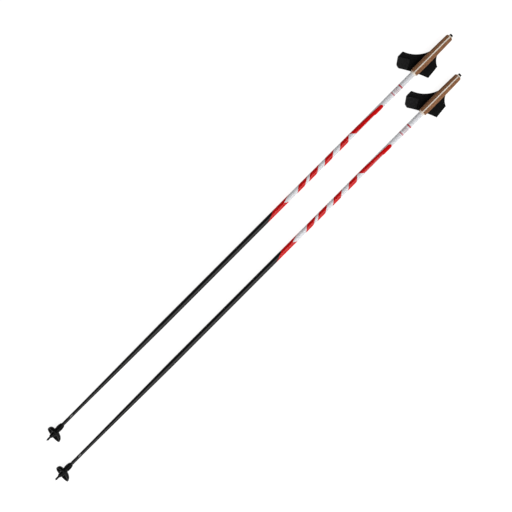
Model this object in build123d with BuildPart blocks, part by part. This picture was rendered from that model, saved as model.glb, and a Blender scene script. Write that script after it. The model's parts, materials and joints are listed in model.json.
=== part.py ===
"""A pair of fixed-length cross-country ski poles, lying side by side on a flat surface.

Both poles are alike. Each has a tapered carbon shaft, a glued-on ferrule with a racing basket and a carbide
spike at the lower end, and a cork grip with a wedge-locked hand strap at the upper end.

Every piece is made once, in the frame of one pole: +X runs from the spike to the grip, the surface is at
Z = 0 and the shaft's centre line is at Z = AXIS_HEIGHT. The strap lies flat under the grip. At the end each
piece is copied to the two places that make the pair. Millimetres throughout.
"""

import os

from build123d import *

# ---------------------------------------------------------------- driving dimensions
POLE_LENGTH = 1650.0  # point of the spike to the top of the strap wedge
AXIS_HEIGHT = 22.0  # shaft centre line above the surface that the poles lie on
POLE_SPACING = 97.5  # between the two centre lines
POLE_STAGGER = 63.0  # how far the right pole lies towards the spikes
FIT_GAP = 0.05  # radial glue gap around every round joint

# Shaft: a thin carbon tube, parallel at both ends and tapered between them
SHAFT_RADIUS = 8.0
SHAFT_TIP_RADIUS = 5.0
SHAFT_WALL = 1.0
SHAFT_LOW = 30.0
TAPER_LOW = 135.0
TAPER_HIGH = 470.0

# Spike, its holder and the ferrule, as distances along the pole
SPIKE_RADIUS = 1.8
SPIKE_CONE = 4.6
SPIKE_BACK = 16.0
HOLDER_RADIUS = 3.1
HOLDER_NOSE = 4.6
HOLDER_SHOULDER = 6.0
HOLDER_STEP = 17.0
HOLDER_BACK = 25.0
HOLDER_STUB_RADIUS = 2.6
FERRULE_LOW = 17.0
FERRULE_WAIST_RADIUS = 6.6
FERRULE_COLLAR = 44.0
FERRULE_BULGE = 56.0
FERRULE_BULGE_RADIUS = 8.85
FERRULE_HIGH = 68.0
FLUTES = 8
FLUTE_RADIUS = 1.5

# Basket: a bell that opens towards the snow, with a rim that is lower behind than in front
BELL_TOP = 44.0
BELL_TOP_RADIUS = 8.6
BELL_HALF_WIDTH = 25.6
BELL_WALL = 2.0
BELL_SKEW = 5.0  # degrees, the left wing swept back towards the grip
RIM_TILT = 26.6  # degrees from square to the shaft, the back edge towards the spike
RIM_CENTRE = (26.6, -3.1, -6.0)  # along the pole, across it, and in front of (+) or behind (-) its axis
RIM_HALF_DEPTH = 17.9
BELL_MID_TILT = 13.0
BELL_MID_CENTRE = (36.4, -1.9, -3.4)
BELL_MID_HALF_WIDTH = 22.8
BELL_MID_HALF_DEPTH = 15.0

# Grip: (distance from its lower end, half width, half depth) of each section
GRIP_LENGTH = 145.0
GRIP_LOW = POLE_LENGTH - 154.0
GRIP_HIGH = GRIP_LOW + GRIP_LENGTH
GRIP_SECTIONS = (
    (0.0, 11.9, 12.6),
    (30.0, 12.0, 14.2),
    (62.0, 12.0, 15.0),
    (95.0, 11.7, 14.4),
    (125.0, 11.2, 13.4),
    (GRIP_LENGTH, 10.6, 12.6),
)
# One half of a section, in half widths and half depths: two flat faces meet in a blunt ridge in front
GRIP_OVAL = (
    (0.0, 1.0),
    (0.35, 0.907),
    (0.75, 0.747),
    (0.967, 0.433),
    (1.0, 0.1),
    (0.867, -0.4),
    (0.54, -0.787),
    (0.0, -0.973),
)
GRIP_TOP_ROUND = 3.5
GRIP_FOOT_ROUND = 1.5
CORE_RADIUS = 9.6
SPINE_HALF_WIDTH = 1.65
COLLAR_LENGTH = 5.8
COLLAR_RADIUS = 9.5

# Wedge housing at the top of the grip, the socket through it and the wedge in it
HOUSING_LOW = GRIP_LOW + 97.0
HOUSING_HIGH = GRIP_HIGH + 3.4
HOUSING_HALF_WIDTH = 6.4
HOUSING_HALF_DEPTH = 7.2
FRAME_WALL = 1.4  # wall of the grip's core around the housing
FRAME_CORNER = 3.5
SOCKET_HALF_WIDTH = 5.3
SOCKET_HALF_DEPTH = 4.2
SOCKET_LOW = GRIP_LOW + 101.0
WEDGE_LOW = GRIP_LOW + 108.0
WEDGE_HALF_WIDTH = 5.0
WEDGE_HEAD_HALF_DEPTH = 6.2
WEDGE_BACK = -2.4
WEDGE_FRONT_LOW = 1.2
WEDGE_FRONT_HIGH = 3.9
SHAFT_HIGH = HOUSING_LOW - 0.5

# Webbing: the part locked in the grip, and the leader that swings with the strap
WEBBING_HALF_WIDTH = 5.0
WEBBING_THICKNESS = 1.5
MOUTH_X = GRIP_LOW + 103.8  # where the webbing leaves the back of the grip
MOUTH_Z = AXIS_HEIGHT - 13.4
MOUTH_LENGTH = 8.0

# Hand strap: a folded two-layer band that lies flat. Heights above the surface.
SHELL_THICKNESS = 1.2
LINING_THICKNESS = 0.8
LAYER = SHELL_THICKNESS + LINING_THICKNESS
LOOP_GAP = 0.4
BAND_TOP = 2 * LAYER + LOOP_GAP
BINDING_WIDTH = 2.6
TAB_INSET = 0.8
PATCH_INSET = 3.4
PATCH_THICKNESS = 0.7
TAB_THICKNESS = 1.4
TAB_GAP = 0.3

# ---------------------------------------------------------------- shared planes and helpers
side_plane = Plane(origin=(0, 0, AXIS_HEIGHT), x_dir=(1, 0, 0), z_dir=(0, -1, 0))  # (along, up)
pole_axis = Axis((0, 0, AXIS_HEIGHT), (1, 0, 0))


def across(along):
    """The plane square to the pole at this distance from the spike: its x is the row's Y and its y is Z."""
    return Plane(origin=(along, 0, AXIS_HEIGHT), x_dir=(0, 1, 0), z_dir=(1, 0, 0))


def turned(*points):
    """A solid of revolution about the pole's axis from a closed profile of (along, radius) points."""
    with BuildPart() as made:
        with BuildSketch(side_plane):
            with BuildLine():
                Polyline(*points, close=True)
            make_face()
        revolve(axis=pole_axis)
    return made.part


def bell_plane(centre, tilt):
    """A plane nearly square to the pole: its back edge is tipped to the spike by tilt, then skewed."""
    along = Vector(1, 0, 0).rotate(Axis.Y, tilt).rotate(Axis.Z, -BELL_SKEW)
    over = Vector(0, 1, 0).rotate(Axis.Z, -BELL_SKEW)
    return Plane(origin=Vector(*centre) + Vector(0, 0, AXIS_HEIGHT), x_dir=over, z_dir=along)


def block(along_low, along_high, half_width, up_low, up_high):
    """A square-edged block, with its heights measured from the pole's axis."""
    with BuildPart() as made:
        with BuildSketch(across(along_low)):
            with Locations((0, (up_low + up_high) / 2)):
                Rectangle(2 * half_width, up_high - up_low)
        extrude(amount=along_high - along_low)
    return made.part


# ---------------------------------------------------------------- shaft and its two foam plugs
with BuildPart() as shaft:
    with BuildSketch(side_plane):
        with BuildLine():
            Polyline(
                (SHAFT_LOW, SHAFT_TIP_RADIUS),
                (TAPER_LOW, SHAFT_TIP_RADIUS),
                (TAPER_HIGH, SHAFT_RADIUS),
                (SHAFT_HIGH, SHAFT_RADIUS),
                (SHAFT_HIGH, SHAFT_RADIUS - SHAFT_WALL),
                (TAPER_HIGH, SHAFT_RADIUS - SHAFT_WALL),
                (TAPER_LOW, SHAFT_TIP_RADIUS - SHAFT_WALL),
                (SHAFT_LOW, SHAFT_TIP_RADIUS - SHAFT_WALL),
                close=True,
            )
        make_face()
    revolve(axis=pole_axis)

PLUG_LENGTH = 18.0
PLUG_INSET = 1.0

with BuildPart() as upper_plug:
    with BuildSketch(across(SHAFT_HIGH - PLUG_INSET - PLUG_LENGTH)):
        Circle(SHAFT_RADIUS - SHAFT_WALL - FIT_GAP)
    extrude(amount=PLUG_LENGTH)
    chamfer(upper_plug.edges().filter_by(GeomType.CIRCLE), 0.6)

with BuildPart() as lower_plug:
    with BuildSketch(across(SHAFT_LOW + PLUG_INSET)):
        Circle(SHAFT_TIP_RADIUS - SHAFT_WALL - FIT_GAP)
    extrude(amount=PLUG_LENGTH)
    chamfer(lower_plug.edges().filter_by(GeomType.CIRCLE), 0.6)

# ---------------------------------------------------------------- spike, holder and ferrule
with BuildPart() as carbide_spike:
    with BuildSketch(side_plane):
        with BuildLine():
            Polyline(
                (0, 0),
                (0.3, 0.35),
                (SPIKE_CONE, SPIKE_RADIUS),
                (SPIKE_BACK, SPIKE_RADIUS),
                (SPIKE_BACK, 0),
                close=True,
            )
        make_face()
    revolve(axis=pole_axis)

with BuildPart() as spike_holder:
    with BuildSketch(side_plane):
        with BuildLine():
            Polyline(
                (HOLDER_NOSE, SPIKE_RADIUS + FIT_GAP),
                (HOLDER_NOSE, SPIKE_RADIUS + 0.5),
                (HOLDER_SHOULDER, HOLDER_RADIUS),
                (HOLDER_STEP, HOLDER_RADIUS),
                (HOLDER_STEP, HOLDER_STUB_RADIUS),
                (HOLDER_BACK, HOLDER_STUB_RADIUS),
                (HOLDER_BACK, 0),
                (SPIKE_BACK, 0),
                (SPIKE_BACK, SPIKE_RADIUS + FIT_GAP),
                close=True,
            )
        make_face()
    revolve(axis=pole_axis)

STUB_BORE = HOLDER_STUB_RADIUS + FIT_GAP
SHAFT_BORE = SHAFT_TIP_RADIUS + FIT_GAP

with BuildPart() as ferrule:
    with BuildSketch(side_plane):
        with BuildLine():
            Polyline(
                (FERRULE_LOW, STUB_BORE),
                (FERRULE_LOW, 4.0),
                (FERRULE_LOW + 3.5, 5.7),
                (FERRULE_LOW + 8, FERRULE_WAIST_RADIUS),
                (FERRULE_COLLAR - 4, FERRULE_WAIST_RADIUS),
                (FERRULE_COLLAR, FERRULE_WAIST_RADIUS + 1.3),
            )
            Spline(
                (FERRULE_COLLAR, FERRULE_WAIST_RADIUS + 1.3),
                (FERRULE_BULGE, FERRULE_BULGE_RADIUS),
                (FERRULE_HIGH - 2, 7.2),
            )
            Polyline(
                (FERRULE_HIGH - 2, 7.2),
                (FERRULE_HIGH, 6.0),
                (FERRULE_HIGH, SHAFT_BORE),
                (SHAFT_LOW, SHAFT_BORE),
                (SHAFT_LOW, 0),
                (HOLDER_BACK + 0.2, 0),
                (HOLDER_BACK + 0.2, STUB_BORE),
                (FERRULE_LOW, STUB_BORE),
            )
        make_face()
    revolve(axis=pole_axis)
    # shallow flutes along the swollen upper part, with a round run-out at their lower ends
    with Locations(across(FERRULE_COLLAR + 5)):
        with PolarLocations(FERRULE_BULGE_RADIUS + 0.5, FLUTES, start_angle=180 / FLUTES):
            Sphere(FLUTE_RADIUS, mode=Mode.SUBTRACT)
            Cylinder(
                FLUTE_RADIUS,
                FERRULE_HIGH,
                align=(Align.CENTER, Align.CENTER, Align.MIN),
                mode=Mode.SUBTRACT,
            )


# ---------------------------------------------------------------- basket
def bell(wall):
    """The bell's outside, or with a wall thickness the space inside it, as one lofted solid."""
    with BuildPart() as made:
        with BuildSketch(across(BELL_TOP - wall)):
            Circle(BELL_TOP_RADIUS - wall)
        with BuildSketch(bell_plane(BELL_MID_CENTRE, BELL_MID_TILT)):
            Ellipse(BELL_MID_HALF_WIDTH - wall, BELL_MID_HALF_DEPTH - wall)
        with BuildSketch(bell_plane(RIM_CENTRE, RIM_TILT)):
            Ellipse(BELL_HALF_WIDTH - wall, RIM_HALF_DEPTH - wall)
        loft()
    return made.part


HUB_RADIUS = 8.2
HUB_LOW = 27.0
WEB_THICKNESS = 1.6

with BuildPart() as basket:
    add(bell(0))
    add(bell(BELL_WALL), mode=Mode.SUBTRACT)
    # hub tube and four webs under the bell, trimmed to stay inside it
    with BuildSketch(across(HUB_LOW)):
        Circle(HUB_RADIUS)
        with PolarLocations(0, 4, start_angle=45):
            Rectangle(2 * BELL_HALF_WIDTH, WEB_THICKNESS)
    stiffeners = extrude(amount=BELL_TOP - HUB_LOW, mode=Mode.PRIVATE)
    add(stiffeners & bell(BELL_WALL / 2))
    with BuildSketch(across(FERRULE_LOW)):
        Circle(FERRULE_WAIST_RADIUS + FIT_GAP)
    extrude(amount=BELL_TOP - FERRULE_LOW, mode=Mode.SUBTRACT)
    add(
        turned(
            (FERRULE_COLLAR - 4 - FIT_GAP, 0),
            (FERRULE_COLLAR - 4 - FIT_GAP, FERRULE_WAIST_RADIUS + FIT_GAP),
            (FERRULE_COLLAR, FERRULE_WAIST_RADIUS + 1.3 + 2 * FIT_GAP),
            (FERRULE_COLLAR + 1, FERRULE_WAIST_RADIUS + 1.3 + 2 * FIT_GAP),
            (FERRULE_COLLAR + 1, 0),
        ),
        mode=Mode.SUBTRACT,
    )


# ---------------------------------------------------------------- grip
def rounded_ends(plane, foot, top):
    """A thick plate between the half widths foot and top, square to plane, with the grip's ends rounded."""
    with BuildPart() as made:
        with BuildSketch(plane) as face:
            Polygon(
                (GRIP_LOW, foot),
                (GRIP_LOW + 30, foot + 3),
                (GRIP_HIGH - 20, top + 0.6),
                (GRIP_HIGH, top),
                (GRIP_HIGH, -top),
                (GRIP_HIGH - 20, -top - 0.6),
                (GRIP_LOW + 30, -foot - 3),
                (GRIP_LOW, -foot),
                align=None,
            )
            fillet(face.vertices().group_by(Axis.X)[-1], GRIP_TOP_ROUND)
            fillet(face.vertices().group_by(Axis.X)[0], GRIP_FOOT_ROUND)
        extrude(amount=30, both=True)
    return made.part


def grip_form():
    """The whole outside shape of the cork grip as one solid, rounded at both ends."""
    around = list(GRIP_OVAL) + [(-wide, deep) for wide, deep in reversed(GRIP_OVAL[1:-1])]
    with BuildPart() as made:
        for along, half_width, half_depth in GRIP_SECTIONS:
            with BuildSketch(across(GRIP_LOW + along)):
                with BuildLine():
                    Spline(*[(wide * half_width, deep * half_depth) for wide, deep in around], periodic=True)
                make_face()
        loft()
    foot, top = GRIP_SECTIONS[0], GRIP_SECTIONS[-1]
    plan = rounded_ends(Plane.XY.offset(AXIS_HEIGHT), foot[1], top[1])
    side = rounded_ends(side_plane, foot[2], top[2])
    return made.part & plan & side


grip = grip_form()


def webbing_slot(up_low):
    """The slot that lets the webbing out through the back of the grip."""
    return block(
        MOUTH_X - MOUTH_LENGTH / 2,
        MOUTH_X + MOUTH_LENGTH / 2,
        SOCKET_HALF_WIDTH,
        up_low,
        SOCKET_HALF_DEPTH,
    )


housing_pocket = block(
    HOUSING_LOW - 0.5,
    HOUSING_HIGH,
    HOUSING_HALF_WIDTH + FIT_GAP,
    -HOUSING_HALF_DEPTH - FIT_GAP,
    HOUSING_HALF_DEPTH + FIT_GAP,
)
shaft_bore = turned(
    (GRIP_LOW, 0),
    (GRIP_LOW, SHAFT_RADIUS + FIT_GAP),
    (SHAFT_HIGH, SHAFT_RADIUS + FIT_GAP),
    (SHAFT_HIGH, 0),
)

with BuildPart() as core_form:
    add(
        turned(
            (GRIP_LOW, 0), (GRIP_LOW, CORE_RADIUS), (SHAFT_HIGH, CORE_RADIUS), (SHAFT_HIGH, 0)
        )
    )
    with BuildSketch(across(SHAFT_HIGH - 2)):
        RectangleRounded(
            2 * (HOUSING_HALF_WIDTH + FRAME_WALL),
            2 * (HOUSING_HALF_DEPTH + FRAME_WALL),
            FRAME_CORNER,
        )
    extrude(amount=GRIP_HIGH - SHAFT_HIGH + 2)

with BuildPart() as grip_core:
    add(grip & block(GRIP_LOW, GRIP_HIGH, SPINE_HALF_WIDTH, -20, 20))
    add(core_form.part & grip)
    add(shaft_bore, mode=Mode.SUBTRACT)
    add(housing_pocket, mode=Mode.SUBTRACT)
    add(webbing_slot(-20), mode=Mode.SUBTRACT)


def cork_half(side):
    """One half of the cork sleeve: side is +1 for the half at +Y and -1 for the other."""
    wide = 20.0
    with BuildPart() as made:
        add(grip)
        with BuildSketch(across(GRIP_LOW)):
            with Locations((side * (SPINE_HALF_WIDTH - wide), 0)):
                Rectangle(2 * wide, 2 * wide)
        extrude(amount=GRIP_LENGTH, mode=Mode.SUBTRACT)
        add(core_form.part, mode=Mode.SUBTRACT)
        add(webbing_slot(-20), mode=Mode.SUBTRACT)
    return made


cork_thumb_half = cork_half(1)
cork_finger_half = cork_half(-1)

with BuildPart() as grip_collar:
    with BuildSketch(side_plane):
        with BuildLine():
            Polyline(
                (GRIP_LOW - COLLAR_LENGTH, SHAFT_RADIUS + FIT_GAP),
                (GRIP_LOW - COLLAR_LENGTH, COLLAR_RADIUS - 0.9),
                (GRIP_LOW - COLLAR_LENGTH + 1.2, COLLAR_RADIUS),
                (GRIP_LOW, COLLAR_RADIUS),
                (GRIP_LOW, SHAFT_RADIUS + FIT_GAP),
                close=True,
            )
        make_face()
    revolve(axis=pole_axis)

with BuildPart() as wedge_housing:
    add(block(HOUSING_LOW, HOUSING_HIGH, HOUSING_HALF_WIDTH, -HOUSING_HALF_DEPTH, HOUSING_HALF_DEPTH))
    fillet(wedge_housing.edges().group_by(Axis.X)[-1], 1.0)
    add(
        block(SOCKET_LOW, HOUSING_HIGH, SOCKET_HALF_WIDTH, -SOCKET_HALF_DEPTH, SOCKET_HALF_DEPTH),
        mode=Mode.SUBTRACT,
    )
    add(webbing_slot(-20), mode=Mode.SUBTRACT)

with BuildPart() as strap_wedge:
    with BuildSketch(side_plane):
        with BuildLine():
            Polyline(
                (WEDGE_LOW, WEDGE_BACK),
                (WEDGE_LOW, WEDGE_FRONT_LOW),
                (HOUSING_HIGH + 0.1, WEDGE_FRONT_HIGH),
                (HOUSING_HIGH + 0.1, WEDGE_BACK),
                close=True,
            )
        make_face()
    extrude(amount=WEDGE_HALF_WIDTH, both=True)
    with BuildSketch(across(HOUSING_HIGH + 0.1)):
        RectangleRounded(10.0, 2 * WEDGE_HEAD_HALF_DEPTH, 2.5)
    head = extrude(amount=POLE_LENGTH - HOUSING_HIGH - 0.1)
    fillet(head.edges().group_by(Axis.X)[-1], 1.4)

# ---------------------------------------------------------------- webbing
ANCHOR_UP = -SOCKET_HALF_DEPTH + 0.1  # back face of the locked webbing, measured from the pole's axis
ANCHOR_HIGH = HOUSING_HIGH - 3.0
HALF_WEB = WEBBING_THICKNESS / 2
MOUTH_UP = MOUTH_Z - AXIS_HEIGHT

with BuildPart() as webbing_anchor:
    with BuildSketch(side_plane):
        with BuildLine():
            Polyline(
                (MOUTH_X - HALF_WEB, MOUTH_UP + HALF_WEB + 0.3),
                (MOUTH_X - HALF_WEB, ANCHOR_UP + WEBBING_THICKNESS),
                (ANCHOR_HIGH, ANCHOR_UP + WEBBING_THICKNESS),
                (ANCHOR_HIGH, ANCHOR_UP),
                (MOUTH_X + HALF_WEB, ANCHOR_UP),
                (MOUTH_X + HALF_WEB, MOUTH_UP + HALF_WEB + 0.3),
                close=True,
            )
        make_face()
    extrude(amount=WEBBING_HALF_WIDTH, both=True)

LEADER_SEAM = GRIP_LOW + 64.0  # where the sewn end of the leader lies on the band
LEADER_BEND = MOUTH_X - 6.0
LEADER_UP = BAND_TOP + HALF_WEB - AXIS_HEIGHT

with BuildPart() as webbing_leader:
    with BuildSketch(side_plane):
        with BuildLine() as leader_path:
            Polyline((LEADER_SEAM, LEADER_UP), (LEADER_BEND, LEADER_UP), (MOUTH_X, MOUTH_UP))
        trace(leader_path.line, WEBBING_THICKNESS)
        with Locations((MOUTH_X, MOUTH_UP)):
            Circle(HALF_WEB)
    extrude(amount=WEBBING_HALF_WIDTH, both=True)


# ---------------------------------------------------------------- hand strap
BAND_FOOT = GRIP_LOW + 2.5  # the strap's outline is given from a point just above the grip's lower end
FOLD_LOW = Vector(BAND_FOOT + 18.2, -39.7)
FOLD_HIGH = Vector(BAND_FOOT + 59.4, -35.3)
CLOSED_END = [(BAND_FOOT - 22.8, 41.5), (BAND_FOOT - 20.2, 52.4), (BAND_FOOT + 0.4, 66.8)]
fold_out = (FOLD_HIGH - FOLD_LOW).normalized().rotate(Axis.Z, -90)


def band_outline(inset=0.0):
    """The folded band seen from above, carried on a little past the fold, then shrunk by inset."""
    past = 12.0
    with BuildSketch() as made:
        with BuildLine():
            start = FOLD_LOW + Vector(3.6, -past)
            Line(start, FOLD_LOW)
            ThreePointArc(FOLD_LOW, (BAND_FOOT + 0.8, 0.9), CLOSED_END[0])
            Polyline(*CLOSED_END, (BAND_FOOT + 20.8, 66.8))
            ThreePointArc(
                (BAND_FOOT + 20.8, 66.8), (BAND_FOOT + 42.9, 32.4), (BAND_FOOT + 90.0, 8.5)
            )
            Line((BAND_FOOT + 90.0, 8.5), (BAND_FOOT + 90.0, -9.0))
            ThreePointArc((BAND_FOOT + 90.0, -9.0), (BAND_FOOT + 71.3, -19.0), FOLD_HIGH)
            Line(FOLD_HIGH, FOLD_HIGH + Vector(-3.6, -past))
            Line(FOLD_HIGH + Vector(-3.6, -past), start)
        make_face()
        if inset:
            offset(amount=-inset, kind=Kind.INTERSECTION)
    return made.sketch


def fold_side(depth):
    """A large square that covers all of the band further than depth from the fold."""
    wide = 400.0
    turn = Plane(origin=(FOLD_LOW + FOLD_HIGH) / 2, x_dir=-fold_out, z_dir=(0, 0, 1))
    with BuildSketch(turn) as made:
        with Locations((depth + wide / 2, 0)):
            Rectangle(wide, wide)
    return made.sketch


def sheet(face, low, thickness):
    """A flat layer of this outline with its underside at height low."""
    return extrude(Pos(0, 0, low) * face, amount=thickness)


outer_face = band_outline()
inner_face = band_outline(BINDING_WIDTH)


def folded(face, depth, wall, low, high, thickness):
    """Two layers of a folded sheet and the wall that joins them at the fold, depth inside the fold line."""
    leaf = face & fold_side(depth)
    edge = leaf - fold_side(depth + wall)
    with BuildPart() as made:
        add(sheet(leaf, low, thickness))
        add(sheet(leaf, high - thickness, thickness))
        add(sheet(edge, low, high - low))
    return made


hand_band = folded(inner_face, 0.0, SHELL_THICKNESS, 0.0, BAND_TOP, SHELL_THICKNESS)
band_lining = folded(
    inner_face,
    SHELL_THICKNESS,
    LINING_THICKNESS,
    SHELL_THICKNESS,
    BAND_TOP - SHELL_THICKNESS,
    LINING_THICKNESS,
)
edge_binding = folded(outer_face - inner_face, 0.0, LAYER, 0.0, BAND_TOP, LAYER)


def tab_face(inset):
    """The end of the band that the closing tab covers, shrunk by inset. Its sewn root is the closing edge."""
    with BuildSketch() as made:
        with BuildLine():
            Polyline(
                (BAND_FOOT - 8.7, 18.3), *CLOSED_END, (BAND_FOOT + 20.4, 34.5), close=True
            )
        make_face()
        offset(amount=-inset, kind=Kind.INTERSECTION)
    return made.sketch


with BuildPart() as loop_patch:
    add(sheet(tab_face(PATCH_INSET), BAND_TOP, PATCH_THICKNESS))

with BuildPart() as hook_tab:
    add(sheet(tab_face(TAB_INSET), BAND_TOP + PATCH_THICKNESS + TAB_GAP, TAB_THICKNESS))

# ---------------------------------------------------------------- place the pair and write the files
pieces = {
    "shaft": shaft,
    "upper_plug": upper_plug,
    "lower_plug": lower_plug,
    "ferrule": ferrule,
    "basket": basket,
    "spike_holder": spike_holder,
    "carbide_spike": carbide_spike,
    "grip_core": grip_core,
    "cork_thumb_half": cork_thumb_half,
    "cork_finger_half": cork_finger_half,
    "grip_collar": grip_collar,
    "wedge_housing": wedge_housing,
    "strap_wedge": strap_wedge,
    "webbing_anchor": webbing_anchor,
    "webbing_leader": webbing_leader,
    "hand_band": hand_band,
    "band_lining": band_lining,
    "edge_binding": edge_binding,
    "loop_patch": loop_patch,
    "hook_tab": hook_tab,
}

# the pair's box is centred on the origin: the bands reach further on one side than on the other
BAND_REACH_LEFT = 66.8
BAND_REACH_RIGHT = 39.7
half_length = (POLE_LENGTH + POLE_STAGGER) / 2
left_y = (POLE_SPACING - BAND_REACH_LEFT + BAND_REACH_RIGHT) / 2
poles = {
    "left": Location((POLE_STAGGER - half_length, left_y, 0)),
    "right": Location((-half_length, left_y - POLE_SPACING, 0)),
}

os.makedirs("parts", exist_ok=True)
for side, place in poles.items():
    for name, piece in pieces.items():
        copy = piece.part.moved(place)
        copy.label = f"{side}_{name}"
        export_step(copy, f"parts/{copy.label}.step")
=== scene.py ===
"""Looks for a pair of cross-country ski poles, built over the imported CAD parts. Lengths are in metres."""

import json
import math

import bmesh
import bpy
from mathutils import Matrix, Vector
from mathutils.geometry import delaunay_2d_cdt


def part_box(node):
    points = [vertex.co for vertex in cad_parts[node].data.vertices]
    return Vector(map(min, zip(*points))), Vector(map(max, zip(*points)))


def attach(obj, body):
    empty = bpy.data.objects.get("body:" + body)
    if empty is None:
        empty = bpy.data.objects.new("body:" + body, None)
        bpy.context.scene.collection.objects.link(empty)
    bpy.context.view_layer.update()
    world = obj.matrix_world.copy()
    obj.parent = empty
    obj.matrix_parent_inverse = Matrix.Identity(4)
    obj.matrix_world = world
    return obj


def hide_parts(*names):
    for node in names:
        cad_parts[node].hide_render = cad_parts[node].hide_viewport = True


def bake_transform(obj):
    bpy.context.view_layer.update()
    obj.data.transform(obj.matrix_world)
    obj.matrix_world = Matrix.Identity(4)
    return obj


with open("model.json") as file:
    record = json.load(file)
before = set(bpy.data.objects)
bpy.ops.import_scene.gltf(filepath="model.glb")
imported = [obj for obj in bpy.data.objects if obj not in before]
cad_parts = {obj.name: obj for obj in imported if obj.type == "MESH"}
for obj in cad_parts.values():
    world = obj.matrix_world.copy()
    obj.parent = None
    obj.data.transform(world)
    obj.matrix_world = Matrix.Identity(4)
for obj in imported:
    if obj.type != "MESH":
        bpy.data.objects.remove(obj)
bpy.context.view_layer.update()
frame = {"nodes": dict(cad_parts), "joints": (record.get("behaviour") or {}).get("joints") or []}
nodes = frame["nodes"]
scene = bpy.context.scene
MM = 0.001
SIDES = ("left", "right")
BAND_LOW = 22.8  # how far the strap reaches below the point that its outline is measured from, in mm


# ---------------------------------------------------------------- where each pole lies
def pole_place(side):
    """The point of this pole's axis that is level with its spike, and where its strap's outline starts."""
    low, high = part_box(f"{side}_shaft")
    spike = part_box(f"{side}_carbide_spike")[0]
    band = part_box(f"{side}_edge_binding")[0]
    return Vector((spike[0], (low[1] + high[1]) / 2, (low[2] + high[2]) / 2)), band[0] + BAND_LOW * MM


places = {side: pole_place(side) for side in SIDES}


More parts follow.
